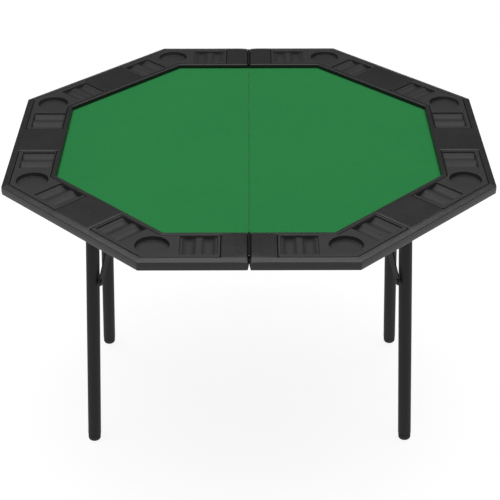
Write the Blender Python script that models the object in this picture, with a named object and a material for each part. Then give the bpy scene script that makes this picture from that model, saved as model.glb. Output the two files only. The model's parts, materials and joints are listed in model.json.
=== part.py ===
"""An octagonal poker table that folds in half felt side inward, on four folding legs with hooked braces."""

import math

import bmesh
import bpy
from mathutils import Matrix, Vector

# Driving dimensions, in metres. The origin is on the floor under the middle of the top, +Z up,
# and the seam runs along Y.
APOTHEM = 0.610  # half the width of the top across its flats
TOP_Z = 0.800  # top of the rail above the floor
EDGE_HEIGHT = 0.025  # rail top above the board's underside
BOARD_THICKNESS = 0.010
FELT_THICKNESS = 0.003
RAIL_WIDTH = 0.130
RAIL_SKIRT = 0.003  # thickness of the rail's skirt, which covers the board's edge
TRAY_OUTER = 0.590  # apothem of the trays' outer and inner edges
TRAY_INNER = 0.493
TRAY_END = 0.065  # distance of a tray's wing end from the middle of its side
TRAY_SINK = 0.0008  # how far the trays lie below the rail's top
LEG_PIVOT = (0.395, 0.177)  # the legs' pivots, right and back of the middle
FOLD_DIRECTION = math.radians(28)  # between the seam and the way that a leg folds
SPLAY = math.radians(5.0)  # of the opened legs, from upright
FRONT_PIVOT_DROP = 0.023  # leg pivots below the board: the back legs fold under the front ones
BACK_PIVOT_DROP = 0.061
LEG_RADIUS = 0.0175
LEG_WALL = 0.0016
BRACE_STUD_DROP = 0.2826  # the braces' studs below the board
BACK_BRACE_REACH = 0.136  # from a back leg's pivot to its brace's mount, along the fold

GAP = 0.0003  # between pieces that touch or rest on each other
SEAM_HALF = 0.0005  # half of the seam between the boards and between the felts
RAIL_SEAM_HALF = 0.002  # half of the seam between the rail's ends, which holds the hinge leaves
NOTCH_HALF = 0.0034  # half of the seam's width at the table's edge, where it opens out
NOTCH_DEPTH = 0.024
SEGMENTS = 24
SIDES = 8
HALF_CORNER = math.radians(180 / SIDES)

BOARD_Z = TOP_Z - EDGE_HEIGHT
BOARD_TOP = BOARD_Z + BOARD_THICKNESS
RAIL_INNER = APOTHEM - RAIL_WIDTH
TRAY_Z = TOP_Z - TRAY_SINK

# Trays
PLATE_THICKNESS = 0.0022
TRAY_WALL = 0.002
CUP_APOTHEM = 0.536  # of the cup's middle, over both sides that meet at its corner
CUP_RADIUS = 0.040
CUP_DEPTH = 0.0115
GROOVE_CENTRES = (0.093, 0.138)  # from the middle of the side
GROOVE_RADIUS = 0.023
GROOVE_DEPTH = 0.0115
RACK = (0.072, 0.159)  # the recess that holds two grooves, from the middle of the side
RACK_REACH = (0.4965, 0.5780)  # apothems of the recess's ends
RACK_DEPTH = 0.005

# Seam hinges
AXIS_Z = TOP_Z + GAP
HINGE_OUTER = 0.585  # just inside the seam's notch
HINGE_LENGTH = 0.100
KNUCKLES = 5
KNUCKLE_RADIUS = 0.0028
HINGE_BORE = 0.00165
HINGE_PIN_RADIUS = 0.0015
LEAF = (0.00035, 0.00155)  # near and far side of a leaf, from the seam
KNUCKLE_CLEARANCE = 0.0032
KNUCKLE_ROOT = 0.0020  # how far below the axis a knuckle's neck ends inside it
CHAMFER_DEPTH = 0.003
PIN_STANDOUT = 0.001

# Legs, in each leg's own frame: x along the fold, y across it, z up from the board's underside
STEEL = 0.0025  # thickness of the brackets' and the mounts' sheet
BRACKET_X = (-0.034, 0.044)  # the flanged base
BRACKET_HALF = 0.034
EAR_INNER = 0.0178
EAR_HIGH = ((-0.0230, 0.001), (0.040, 0.001), (0.036, 0.010))  # x, depth below the board
EAR_LOW = ((0.014, 0.014), (0.006, 0.018), (-0.014, 0.018), (-0.0230, 0.012))  # x, depth below the pivot
WEB_X = (-0.0230, -0.0207)
RIVET_RADIUS = 0.004
RIVET_HOLE = 0.0043
RIVET_HEAD = (0.007, 0.0016)  # radius, thickness
LEG_ABOVE_PIVOT = 0.0085
FOOT_RADIUS = 0.0167
FOOT_HEIGHT = 0.018  # the rubber tip below the tube's end
FOOT_PLUG = 0.020  # the tip's plug inside the tube
FOOT_BEVEL = 0.002
BRACE_Y = (0.0228, 0.0258)
BRACE_LOW_RADIUS = 0.0115
BRACE_HIGH_RADIUS = 0.0160
BRACE_PIVOT_DROP = 0.022
MOUNT_Y = (0.0200, 0.0420)  # the mount's base
MOUNT_EAR_Y = (0.0263, 0.0288)
MOUNT_HALF = (0.012, 0.008)  # half of the ear's length at the board and at its tip
MOUNT_DEPTH = 0.030
STUD_RADIUS = 0.004
STUD_HEAD = (0.0065, 0.0020)  # radius, thickness
STUD_ROOT = 0.0009  # how deep the stud starts inside the tube's wall
HOOK_RADIUS = 0.0046
HOOK_MOUTH = 0.030  # width of the slot that opens the hook, at the bar's edge
BEYOND = 0.010  # how far a cutter runs past what it cuts

# Barrel bolts, along X
BOLT_Y = 0.250
BOLT_X = (-0.070, -0.004)  # drawn back
BOLT_RADIUS = 0.004
BOLT_BORE = 0.0045
BOLT_DROP = 0.008  # the bolt's axis below the board
BOLT_BLOCK_DROP = 0.0155  # undersides of the housing and the keeper
BOLT_BLOCK_HALF = 0.0085
BOLT_PLATE = 0.0015
BOLT_PLATE_HALF = 0.020
HOUSING_X = (-0.058, -0.008)
HOUSING_MARGIN = 0.002  # from the plate's end to the block
KEEPER_X = (0.008, 0.030)
KEEPER_BLOCK_X = (0.010, 0.024)
KEEPER_HOLE_END = 0.020
KNOB_X = -0.042
KNOB_RADIUS = 0.0035
KNOB_LENGTH = 0.022
KNOB_SLOT_X = (-0.048, -0.014)
KNOB_SLOT_HALF = 0.0043

COLOURS = {  # base colour, roughness, metallic
    "board": ((0.030, 0.028, 0.027), 0.75, 0.0),
    "felt": ((0.022, 0.152, 0.048), 0.95, 0.0),
    "rail_vinyl": ((0.018, 0.017, 0.0175), 0.50, 0.0),
    "tray_plastic": ((0.022, 0.0205, 0.021), 0.50, 0.0),
    "black_steel": ((0.0135, 0.0135, 0.014), 0.55, 0.0),
    "zinc": ((0.45, 0.45, 0.46), 0.35, 1.0),
    "rubber": ((0.018, 0.018, 0.018), 0.80, 0.0),
}


def clear_scene():
    for item in list(bpy.data.objects):
        bpy.data.objects.remove(item)


def make_materials():
    made = {}
    for name, (colour, roughness, metallic) in COLOURS.items():
        material = bpy.data.materials.new(name)
        material.use_nodes = True
        shader = material.node_tree.nodes["Principled BSDF"]
        shader.inputs["Base Color"].default_value = (*colour, 1.0)
        shader.inputs["Roughness"].default_value = roughness
        shader.inputs["Metallic"].default_value = metallic
        made[name] = material
    return made


# Shapes: each returns a bmesh


def prism(outline, low, high):
    """A flat outline of (x, y) points, drawn up from z = low to z = high."""
    shape = bmesh.new()
    floor = shape.faces.new([shape.verts.new((x, y, low)) for x, y in outline])
    raised = bmesh.ops.extrude_face_region(shape, geom=[floor])["geom"]
    points = [item for item in raised if isinstance(item, bmesh.types.BMVert)]
    bmesh.ops.translate(shape, verts=points, vec=(0, 0, high - low))
    bmesh.ops.recalc_face_normals(shape, faces=shape.faces)
    return shape


def box(low, high):
    outline = [(low[0], low[1]), (high[0], low[1]), (high[0], high[1]), (low[0], high[1])]
    return prism(outline, low[2], high[2])


def cylinder(radius, start, end, segments=SEGMENTS):
    start, end = Vector(start), Vector(end)
    along = end - start
    shape = bmesh.new()
    bmesh.ops.create_cone(
        shape, cap_ends=True, segments=segments, radius1=radius, radius2=radius, depth=along.length
    )
    turn = Vector((0, 0, 1)).rotation_difference(along).to_matrix().to_4x4()
    shape.transform(Matrix.Translation((start + end) / 2) @ turn)
    return shape


def plate_across(outline, low, high):
    """A flat outline of (x, z) points, from y = low to y = high."""
    shape = prism([(x, -z) for x, z in outline], low, high)
    shape.transform(Matrix(((1, 0, 0, 0), (0, 0, 1, 0), (0, -1, 0, 0), (0, 0, 0, 1))))
    return shape


def rounded_bar(low_end, high_end, low_radius, high_radius, steps=8):
    """The outline of a tapered bar with round ends, as (x, z) points."""
    along = Vector(high_end) - Vector(low_end)
    heading = math.atan2(along.y, along.x)
    outline = []
    for centre, radius, turn in ((high_end, high_radius, -90), (low_end, low_radius, 90)):
        for step in range(steps + 1):
            angle = heading + math.radians(turn + 180 * step / steps)
            outline.append((centre[0] + radius * math.cos(angle), centre[1] + radius * math.sin(angle)))
    return outline


def turned(profile, segments=SEGMENTS):
    """A solid turned about Z, from (radius, z) points that run from its lowest point to its highest."""
    shape = bmesh.new()
    rings = []
    for radius, z in profile:
        angles = (2 * math.pi * step / segments for step in range(segments))
        rings.append([shape.verts.new((radius * math.cos(a), radius * math.sin(a), z)) for a in angles])
    for low, high in zip(rings, rings[1:]):
        for step in range(segments):
            beyond = (step + 1) % segments
            shape.faces.new((low[step], low[beyond], high[beyond], high[step]))
    shape.faces.new(reversed(rings[0]))
    shape.faces.new(rings[-1])
    return shape


def temporary(shape):
    mesh = bpy.data.meshes.new("shape")
    shape.to_mesh(mesh)
    shape.free()
    item = bpy.data.objects.new("shape", mesh)
    bpy.context.scene.collection.objects.link(item)
    return item


def solid(shape, join=(), cut=()):
    """The mesh of a bmesh with others joined to it, and then others cut from it."""
    base = temporary(shape)
    helpers = [(temporary(other), "UNION") for other in join]
    helpers += [(temporary(other), "DIFFERENCE") for other in cut]
    for helper, operation in helpers:
        modifier = base.modifiers.new(operation, "BOOLEAN")
        modifier.operation = operation
        modifier.object = helper
    graph = bpy.context.evaluated_depsgraph_get()
    mesh = bpy.data.meshes.new_from_object(base.evaluated_get(graph))
    for item in [base, *(helper for helper, _ in helpers)]:
        bpy.data.objects.remove(item)
    return mesh


# Holders: empties, one for each body that moves, on its joint's axis

FRAMES = {}


def holder(name, frame, parent=None):
    empty = bpy.data.objects.new(name, None)
    empty.empty_display_size = 0.05
    bpy.context.scene.collection.objects.link(empty)
    FRAMES[name] = frame
    attach(empty, frame, parent)
    return empty


def attach(item, frame, parent):
    """Puts an object at a world frame, under a parent."""
    item.matrix_basis = frame
    if parent:
        item.parent = parent
        item.matrix_parent_inverse = FRAMES[parent.name].inverted()


def part(name, mesh, material, parent, frame=None):
    """One named sub-part. Its mesh is in world coordinates, or in those of frame."""
    item = bpy.data.objects.new(name, mesh)
    bpy.context.scene.collection.objects.link(item)
    if not mesh.materials:
        mesh.materials.append(material)
    mesh.shade_smooth()
    mesh.set_sharp_from_angle(angle=math.radians(35))
    attach(item, frame or Matrix(), parent)
    return item


# The top. Side k faces the way k x 45 degrees from +X, and s runs along it, counter-clockwise.


def side_point(side, apothem, s):
    angle = 2 * HALF_CORNER * side
    return (
        apothem * math.cos(angle) - s * math.sin(angle),
        apothem * math.sin(angle) + s * math.cos(angle),
    )


def half_octagon(apothem, hand):
    """The outline of the half of an octagon on one hand of the seam: -1 left, 1 right."""
    reach = apothem * math.tan(HALF_CORNER)
    edge = SEAM_HALF
    return [
        (hand * x, y)
        for x, y in (
            (edge, -apothem),
            (reach, -apothem),
            (apothem, -reach),
            (apothem, reach),
            (reach, apothem),
            (edge, apothem),
        )
    ]


def seam_notch(hand, facing):
    """The wedge that opens the seam at the table's edge, at its front (facing -1) or back (1) end."""
    root, edge = APOTHEM - NOTCH_DEPTH, APOTHEM + GAP
    wedge = [(0, root), (SEAM_HALF, root), (NOTCH_HALF, edge), (0, edge)]
    return prism([(hand * x, facing * y) for x, y in wedge], BOARD_Z - GAP, TOP_Z + GAP)


def make_board(hand, name, material, parent):
    board = prism(half_octagon(APOTHEM - RAIL_SKIRT - GAP, hand), BOARD_Z, BOARD_TOP)
    notches = [seam_notch(hand, -1), seam_notch(hand, 1)]
    part(f"{name}_board", solid(board, cut=notches), material, parent)


def make_felt(hand, name, material, parent):
    outline = half_octagon(RAIL_INNER - GAP, hand)
    low = BOARD_TOP + GAP
    part(f"{name}_felt", solid(prism(outline, low, low + FELT_THICKNESS)), material, parent)


def rail_profile():
    """The rail's cross-section, as (apothem, z) points."""
    board = BOARD_TOP + GAP
    return [
        (APOTHEM, BOARD_Z),
        (APOTHEM, TOP_Z - 0.008),
        (APOTHEM - 0.004, TOP_Z - 0.002),
        (APOTHEM - 0.012, TOP_Z),
        (RAIL_INNER + 0.004, TOP_Z),
        (RAIL_INNER, TOP_Z - 0.004),
        (RAIL_INNER, board),
        (APOTHEM - RAIL_SKIRT, board),
        (APOTHEM - RAIL_SKIRT, BOARD_Z),
    ]


def wing_outline(side, end, grow):
    """Four corners of a tray's wing on one side: end is -1 or 1, the way along the side to its corner."""
    outer, inner = TRAY_OUTER + grow, TRAY_INNER - grow
    tip = TRAY_END - grow
    corner = math.tan(HALF_CORNER)
    return [
        side_point(side, inner, end * tip),
        side_point(side, outer, end * tip),
        side_point(side, outer, end * outer * corner),
        side_point(side, inner, end * inner * corner),
    ]


def tray_outline(corner, grow=0.0):
    """A boomerang over the corner between side `corner` and the next one."""
    here = wing_outline(corner, 1, grow)
    beyond = wing_outline(corner + 1, -1, grow)
    return [here[0], here[1], here[2], beyond[1], beyond[0], here[3]]


def rail_section(side, seam_end=0):
    """One straight length of rail, mitred at its ends, or square at the seam's end (seam_end -1 or 1)."""
    mitre = GAP / math.cos(HALF_CORNER)
    shape = bmesh.new()
    rings = []
    for end in (-1, 1):
        ring = []
        for apothem, z in rail_profile():
            reach = -RAIL_SEAM_HALF if end == seam_end else apothem * math.tan(HALF_CORNER) - mitre
            ring.append(shape.verts.new((*side_point(side, apothem, end * reach), z)))
        rings.append(ring)
    shape.faces.new(rings[0])
    shape.faces.new(reversed(rings[1]))
    count = len(rings[0])
    for index in range(count):
        beyond = (index + 1) % count
        shape.faces.new((rings[0][index], rings[0][beyond], rings[1][beyond], rings[1][index]))
    bmesh.ops.recalc_face_normals(shape, faces=shape.faces)
    return shape


def tray_pocket(corner):
    return prism(tray_outline(corner, GAP), BOARD_TOP, TOP_Z + GAP)


def seam_chamfer(hand, facing):
    """The wedge that makes room for the hinge's knuckles over the rail's end."""
    near, far = RAIL_SEAM_HALF, 2 * RAIL_SEAM_HALF
    root, top = AXIS_Z - CHAMFER_DEPTH, TOP_Z + GAP
    wedge = [(0, root), (near, root), (far, TOP_Z), (far, top), (0, top)]
    low, high = sorted((facing * (RAIL_INNER - GAP), facing * (APOTHEM + GAP)))
    return plate_across([(hand * x, z) for x, z in wedge], low, high)


def make_rails(hand, name, material, parent):
    """Five lengths: half of the front side, three whole sides and half of the back one."""
    sides = (7, 0, 1) if hand > 0 else (5, 4, 3)
    for side, label in zip(sides, (f"{name}_front", name, f"{name}_back")):
        pockets = [tray_pocket(side - 1), tray_pocket(side)]
        part(f"rail_{label}", solid(rail_section(side), cut=pockets), material, parent)
    for side, facing, label in ((6, -1, "front"), (2, 1, "back")):
        seam_end = hand * facing
        corner = side - 1 if seam_end > 0 else side
        cuts = [tray_pocket(corner), seam_chamfer(hand, facing), seam_notch(hand, facing)]
        part(f"rail_{label}_{name}", solid(rail_section(side, seam_end), cut=cuts), material, parent)


def rack_outline(side, end, grow=0.0):
    inner, outer = RACK_REACH[0] - grow, RACK_REACH[1] + grow
    near, far = RACK[0] - grow, RACK[1] + grow
    corners = ((inner, near), (outer, near), (outer, far), (inner, far))
    return [side_point(side, apothem, end * s) for apothem, s in corners]


def tray_mesh():
    """A moulded tray over corner 0, hollow under its plate, with a cup and two chip racks."""
    floor = BOARD_TOP + GAP
    angle = HALF_CORNER
    reach = CUP_APOTHEM / math.cos(HALF_CORNER)
    cup = (reach * math.cos(angle), reach * math.sin(angle))
    join = [cylinder(CUP_RADIUS + TRAY_WALL, (*cup, floor), (*cup, TRAY_Z - GAP), 40)]
    cut = [cylinder(CUP_RADIUS, (*cup, TRAY_Z - CUP_DEPTH), (*cup, TRAY_Z + GAP), 40)]
    for side, end in ((0, 1), (1, -1)):
        join.append(prism(rack_outline(side, end, TRAY_WALL), floor, TRAY_Z - GAP))
        cut.append(prism(rack_outline(side, end), TRAY_Z - RACK_DEPTH, TRAY_Z + GAP))
        axis = TRAY_Z - GROOVE_DEPTH + GROOVE_RADIUS
        for centre in GROOVE_CENTRES:
            ends = [(*side_point(side, a, end * centre), axis) for a in RACK_REACH]
            cut.append(cylinder(GROOVE_RADIUS, *ends, 40))
    plate = prism(tray_outline(0), TRAY_Z - PLATE_THICKNESS, TRAY_Z)
    return solid(plate, join, cut)


def make_trays(shared, hand, name, material, parent):
    """Four copies on each half, numbered from front to back."""
    corners = {1: (6, 7, 0, 1), -1: (5, 4, 3, 2)}
    for number, corner in enumerate(corners[hand], 1):
        turn = Matrix.Rotation(2 * HALF_CORNER * corner, 4, "Z")
        part(f"tray_{name}_{number}", shared, material, parent, turn)


# The seam's hinges and bolts


def make_hinge_leaf(facing, hand, name, material, parent):
    """A leaf at the front (facing -1) or back (1) end of the seam, with every other knuckle."""
    first = facing * HINGE_OUTER
    pitch = -facing * HINGE_LENGTH / KNUCKLES
    own = range(0, KNUCKLES, 2) if hand < 0 else range(1, KNUCKLES, 2)
    low_y, high_y = sorted((first, first + pitch * KNUCKLES))
    near, far = sorted((hand * LEAF[0], hand * LEAF[1]))
    plate = box((near, low_y, BOARD_TOP + GAP), (far, high_y, AXIS_Z - KNUCKLE_CLEARANCE))
    join = []
    for index in own:
        start, end = sorted((first + pitch * index, first + pitch * (index + 1)))
        start, end = start + GAP / 2, end - GAP / 2
        join.append(box((near, start, AXIS_Z - 2 * KNUCKLE_CLEARANCE), (far, end, AXIS_Z - KNUCKLE_ROOT)))
        join.append(cylinder(KNUCKLE_RADIUS, (0, start, AXIS_Z), (0, end, AXIS_Z), 16))
    bore = cylinder(HINGE_BORE, (0, low_y - GAP, AXIS_Z), (0, high_y + GAP, AXIS_Z), 16)
    part(name, solid(plate, join, [bore]), material, parent)


def make_hinge_pin(facing, name, material, parent):
    outer, inner = HINGE_OUTER + PIN_STANDOUT, HINGE_OUTER - HINGE_LENGTH - PIN_STANDOUT
    ends = [(0, facing * y, AXIS_Z) for y in (outer, inner)]
    part(name, solid(cylinder(HINGE_PIN_RADIUS, *ends, 16)), material, parent)


def bolt_block(plate_x, block_x, y):
    """The plate and the block of a bolt's housing or keeper, under the board."""
    top = BOARD_Z - GAP
    plate_y = (y - BOLT_PLATE_HALF, y + BOLT_PLATE_HALF)
    block_y = (y - BOLT_BLOCK_HALF, y + BOLT_BLOCK_HALF)
    plate = box((plate_x[0], plate_y[0], top - BOLT_PLATE), (plate_x[1], plate_y[1], top))
    block = box((block_x[0], block_y[0], BOARD_Z - BOLT_BLOCK_DROP), (block_x[1], block_y[1], top - GAP))
    return plate, block


def make_bolt(y, label, materials, left, right, slider):
    """A barrel bolt under the seam, drawn back: its housing, the bolt with its knob, and the keeper."""
    axis = BOARD_Z - BOLT_DROP
    plate, block = bolt_block(HOUSING_X, (HOUSING_X[0] + HOUSING_MARGIN, HOUSING_X[1] - HOUSING_MARGIN), y)
    bore = cylinder(BOLT_BORE, (HOUSING_X[0] - BEYOND, y, axis), (HOUSING_X[1] + BEYOND, y, axis))
    slot_y = (y - KNOB_SLOT_HALF, y + KNOB_SLOT_HALF)
    under = BOARD_Z - BOLT_BLOCK_DROP - GAP
    slot = box((KNOB_SLOT_X[0], slot_y[0], under), (KNOB_SLOT_X[1], slot_y[1], axis))
    part(f"bolt_housing_{label}", solid(plate, [block], [bore, slot]), materials["black_steel"], left)
    rod = cylinder(BOLT_RADIUS, (BOLT_X[0], y, axis), (BOLT_X[1], y, axis))
    knob = cylinder(KNOB_RADIUS, (KNOB_X, y, axis), (KNOB_X, y, axis - KNOB_LENGTH))
    part(f"bolt_{label}", solid(rod, [knob]), materials["zinc"], slider)
    plate, block = bolt_block(KEEPER_X, KEEPER_BLOCK_X, y)
    hole = cylinder(BOLT_BORE, (KEEPER_BLOCK_X[0] - BEYOND, y, axis), (KEEPER_HOLE_END, y, axis))
    part(f"bolt_keeper_{label}", solid(plate, [block], [hole]), materials["black_steel"], right)


# The legs. Everything here is in a leg's own frame until part() puts it in the world.


def leg_frame(hand, facing):
    """x the way the leg folds, y across it, z up, from the board's underside over the leg's pivot."""
    x = Vector((-hand * math.sin(FOLD_DIRECTION), -facing * math.cos(FOLD_DIRECTION), 0))
    z = Vector((0, 0, 1))
    y = z.cross(x)
    frame = Matrix((x, y, z)).transposed().to_4x4()
    frame.translation = (hand * LEG_PIVOT[0], facing * LEG_PIVOT[1], BOARD_Z)
    return frame


def stud_place(drop):
    """Where a leg's brace stud is, as (x, z) in the leg's frame, for a pivot this far below the board."""
    return (-(BRACE_STUD_DROP - drop) * math.tan(SPLAY), -BRACE_STUD_DROP)


def brace_length():
    low = stud_place(BACK_PIVOT_DROP)
    return math.hypot(BACK_BRACE_REACH - low[0], BRACE_STUD_DROP - BRACE_PIVOT_DROP)


def brace_top(drop):
    low = stud_place(drop)
    rise = BRACE_STUD_DROP - BRACE_PIVOT_DROP
    return (low[0] + math.sqrt(brace_length() ** 2 - rise**2), -BRACE_PIVOT_DROP)


def across_leg(radius, x, z, reach=MOUNT_EAR_Y[1]):
    """A round cutter right through a leg and what stands beside it."""
    return cylinder(radius, (x, -reach, z), (x, reach, z))


def make_bracket(drop, name, material, parent, frame):
    """A U-shaped bracket: a flanged base, two ears and the web that stops the leg."""
    base = box((BRACKET_X[0], -BRACKET_HALF, -STEEL), (BRACKET_X[1], BRACKET_HALF, -GAP))
    ear = [(x, -depth) for x, depth in EAR_HIGH] + [(x, -drop - depth) for x, depth in EAR_LOW]
    outer = EAR_INNER + STEEL
    ears = [plate_across(ear, EAR_INNER, outer), plate_across(ear, -outer, -EAR_INNER)]
    web_y = EAR_INNER + GAP
    web = box((WEB_X[0], -web_y, -drop - EAR_LOW[-1][1]), (WEB_X[1], web_y, -EAR_HIGH[0][1]))
    mesh = solid(base, [*ears, web], [across_leg(RIVET_HOLE, 0, -drop)])
    part(f"leg_bracket_{name}", mesh, material, parent, frame)


def make_rivet(drop, name, material, parent, frame):
    inner = EAR_INNER + STEEL + GAP
    outer = inner + RIVET_HEAD[1]
    shank = across_leg(RIVET_RADIUS, 0, -drop, outer)
    heads = [cylinder(RIVET_HEAD[0], (0, hand * inner, -drop), (0, hand * outer, -drop)) for hand in (-1, 1)]
    part(f"leg_rivet_{name}", solid(shank, heads), material, parent, frame)


def tip_profile():
    """The rubber tip from its sole, which is cut level afterwards, to the top of its plug inside the tube."""
    inside = LEG_RADIUS - LEG_WALL - GAP
    shoulder, top = FOOT_HEIGHT - GAP, FOOT_HEIGHT + FOOT_PLUG
    return [
        (FOOT_RADIUS - 3 * FOOT_BEVEL, -2 * FOOT_BEVEL),
        (FOOT_RADIUS - FOOT_BEVEL, 1.5 * FOOT_BEVEL),
        (FOOT_RADIUS, FOOT_HEIGHT / 2),
        (FOOT_RADIUS, shoulder),
        (inside, shoulder),
        (inside, top),
        (inside - FOOT_BEVEL, top),
    ]


def make_leg(drop, across, name, materials, parent, frame):
    """The tube with its brace stud, and the rubber tip, cut level at the floor."""
    pivot = Vector((0, 0, -drop))
    down = Vector((-math.sin(SPLAY), 0, -math.cos(SPLAY)))
    floor = (BOARD_Z - drop) / math.cos(SPLAY)
    start, end = pivot - LEG_ABOVE_PIVOT * down, pivot + (floor - FOOT_HEIGHT) * down
    tube = cylinder(LEG_RADIUS, start, end)
    bore = cylinder(LEG_RADIUS - LEG_WALL, start - BEYOND * down, end + BEYOND * down)
    x, z = stud_place(drop)
    root, shank_end = across * (LEG_RADIUS - STUD_ROOT), across * (MOUNT_EAR_Y[0] + GAP)
    head_end = shank_end + across * STUD_HEAD[1]
    stud = cylinder(STUD_RADIUS, (x, root, z), (x, head_end, z))
    head = cylinder(STUD_HEAD[0], (x, shank_end, z), (x, head_end, z))
    hollow = bmesh.new()
    hollow.from_mesh(solid(tube, cut=[bore, across_leg(RIVET_HOLE, 0, -drop)]))
    part(f"leg_tube_{name}", solid(hollow, [stud, head]), materials["black_steel"], parent, frame)

    tip = turned(tip_profile())
    turn = Vector((0, 0, -1)).rotation_difference(down).to_matrix().to_4x4()
    tip.transform(Matrix.Translation(pivot + floor * down) @ turn)
    ground = box((-1, -1, -BOARD_Z - 1), (1, 1, -BOARD_Z))
    part(f"leg_tip_{name}", solid(tip, cut=[ground]), materials["rubber"], parent, frame)


def hook_mouth(low, along):
    """The outline of the slot that opens a brace's hook: round at the stud, and wider at the bar's edge."""
    aside = Vector((along.y, -along.x))
    seat = (math.radians(90 + angle) for angle in range(0, 181, 15))
    outline = [low + HOOK_RADIUS * (math.cos(a) * aside + math.sin(a) * along) for a in seat]
    edge = low + HOOK_MOUTH * aside
    return outline + [edge - HOOK_RADIUS * along, edge + HOOK_MOUTH * along]


def make_brace(drop, across, name, material, parent, frame):
    """A flat tapered bar that hooks over the leg's stud."""
    low, high = Vector(stud_place(drop)), Vector(brace_top(drop))
    low_y, high_y = sorted(across * y for y in BRACE_Y)
    bar = plate_across(rounded_bar(low, high, BRACE_LOW_RADIUS, BRACE_HIGH_RADIUS), low_y, high_y)
    mouth = hook_mouth(low, (high - low).normalized())
    hook = plate_across(mouth, low_y - BEYOND, high_y + BEYOND)
    mesh = solid(bar, cut=[across_leg(RIVET_HOLE, *high), hook])
    part(f"brace_{name}", mesh, material, parent, frame)


def make_brace_mount(drop, across, name, material, parent, frame):
    """What a brace swings on: a base on the board, an ear and a headed pin."""
    x, z = brace_top(drop)
    base_half, tip_half = MOUNT_HALF
    base_low, base_high = sorted(across * y for y in MOUNT_Y)
    low, high = sorted(across * y for y in MOUNT_EAR_Y)
    base = box((x - base_half, base_low, -STEEL), (x + base_half, base_high, -GAP))
    root, tip = -STEEL / 2, -MOUNT_DEPTH
    ear = [(x - base_half, root), (x + base_half, root), (x + tip_half, tip), (x - tip_half, tip)]
    head_start = across * (BRACE_Y[0] - 2 * GAP)
    head_end = head_start - across * STUD_HEAD[1]
    pin = cylinder(STUD_RADIUS, (x, head_end, z), (x, across * sum(MOUNT_EAR_Y) / 2, z))
    head = cylinder(STUD_HEAD[0], (x, head_start, z), (x, head_end, z))
    mesh = solid(base, [plate_across(ear, low, high), pin, head])
    part(f"brace_mount_{name}", mesh, material, parent, frame)


def main():
    clear_scene()
    materials = make_materials()
    halves = {-1: holder("left_half", Matrix())}
    halves[1] = holder("seam_fold", Matrix.Translation((0, 0, AXIS_Z)), halves[-1])
    shared_tray = tray_mesh()
    for hand, name in ((-1, "left"), (1, "right")):
        half = halves[hand]
        make_board(hand, name, materials["board"], half)
        make_felt(hand, name, materials["felt"], half)
        make_rails(hand, name, materials["rail_vinyl"], half)
        make_trays(shared_tray, hand, name, materials["tray_plastic"], half)
        for facing, end in ((-1, "front"), (1, "back")):
            make_hinge_leaf(facing, hand, f"hinge_leaf_{end}_{name}", materials["black_steel"], half)
            drop = FRONT_PIVOT_DROP if facing < 0 else BACK_PIVOT_DROP
            across = -hand * facing  # the braces lie on the side of the leg towards the seam
            frame = leg_frame(hand, facing)
            label = f"{end}_{name}"
            leg = holder(f"leg_fold_{label}", frame @ Matrix.Translation((0, 0, -drop)), half)
            x, z = brace_top(drop)
            swing = holder(f"brace_swing_{label}", frame @ Matrix.Translation((x, 0, z)), half)
            make_bracket(drop, label, materials["black_steel"], half, frame)
            make_rivet(drop, label, materials["zinc"], half, frame)
            make_leg(drop, across, label, materials, leg, frame)
            make_brace(drop, across, label, materials["black_steel"], swing, frame)
            make_brace_mount(drop, across, label, materials["black_steel"], half, frame)
    for facing, end in ((-1, "front"), (1, "back")):
        make_hinge_pin(facing, f"hinge_pin_{end}", materials["zinc"], halves[-1])
        y = facing * BOLT_Y
        slider = holder(f"bolt_slide_{end}", Matrix.Translation((0, y, BOARD_Z - BOLT_DROP)), halves[-1])
        make_bolt(y, end, materials, halves[-1], halves[1], slider)


main()
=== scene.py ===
"""The looks of a folding octagonal poker table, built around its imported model."""

import json
import math

import bmesh
import bpy
from mathutils import Matrix, Vector, noise
from mathutils.geometry import tessellate_polygon


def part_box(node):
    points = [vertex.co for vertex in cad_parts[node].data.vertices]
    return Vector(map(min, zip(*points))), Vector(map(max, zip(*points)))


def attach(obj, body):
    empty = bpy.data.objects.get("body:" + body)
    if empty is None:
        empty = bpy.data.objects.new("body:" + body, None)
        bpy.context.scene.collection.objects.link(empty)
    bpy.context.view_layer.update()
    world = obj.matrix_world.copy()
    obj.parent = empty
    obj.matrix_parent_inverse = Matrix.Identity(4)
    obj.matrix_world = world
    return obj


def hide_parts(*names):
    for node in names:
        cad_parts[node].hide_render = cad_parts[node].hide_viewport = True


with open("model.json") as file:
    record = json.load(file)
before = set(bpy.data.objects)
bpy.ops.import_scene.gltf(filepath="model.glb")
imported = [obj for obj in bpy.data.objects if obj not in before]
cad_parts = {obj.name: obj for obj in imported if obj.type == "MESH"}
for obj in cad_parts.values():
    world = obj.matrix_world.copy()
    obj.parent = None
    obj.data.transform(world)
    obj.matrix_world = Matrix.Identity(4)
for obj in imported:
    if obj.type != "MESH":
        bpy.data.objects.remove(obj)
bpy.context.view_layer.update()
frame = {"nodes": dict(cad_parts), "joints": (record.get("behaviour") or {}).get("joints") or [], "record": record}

# The frame's driving sizes, in metres. Side k of the top faces k x 45 degrees from +X, and s runs along it
# from its middle, anticlockwise.
BOARD_LOW, BOARD_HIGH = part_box("right_board")
FELT_LOW, FELT_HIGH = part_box("right_felt")
RAIL_LOW, RAIL_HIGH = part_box("rail_right")
TRAY_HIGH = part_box("tray_right_1")[1]
BOARD_Z = BOARD_LOW.z
BOARD_TOP = BOARD_HIGH.z
FELT_TOP = FELT_HIGH.z
APOTHEM = RAIL_HIGH.x
RAIL_INNER = RAIL_LOW.x
TOP_Z = RAIL_HIGH.z
TRAY_Z = TRAY_HIGH.z
SEAM = FELT_LOW.x
GAP = 0.0003  # between soft goods and what they lie on
WELD, TRAY_WELD = 0.00001, 0.000004  # points closer than this are one
HALF_CORNER = math.pi / 8
TAN = math.tan(HALF_CORNER)
COS = math.cos(HALF_CORNER)

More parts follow.
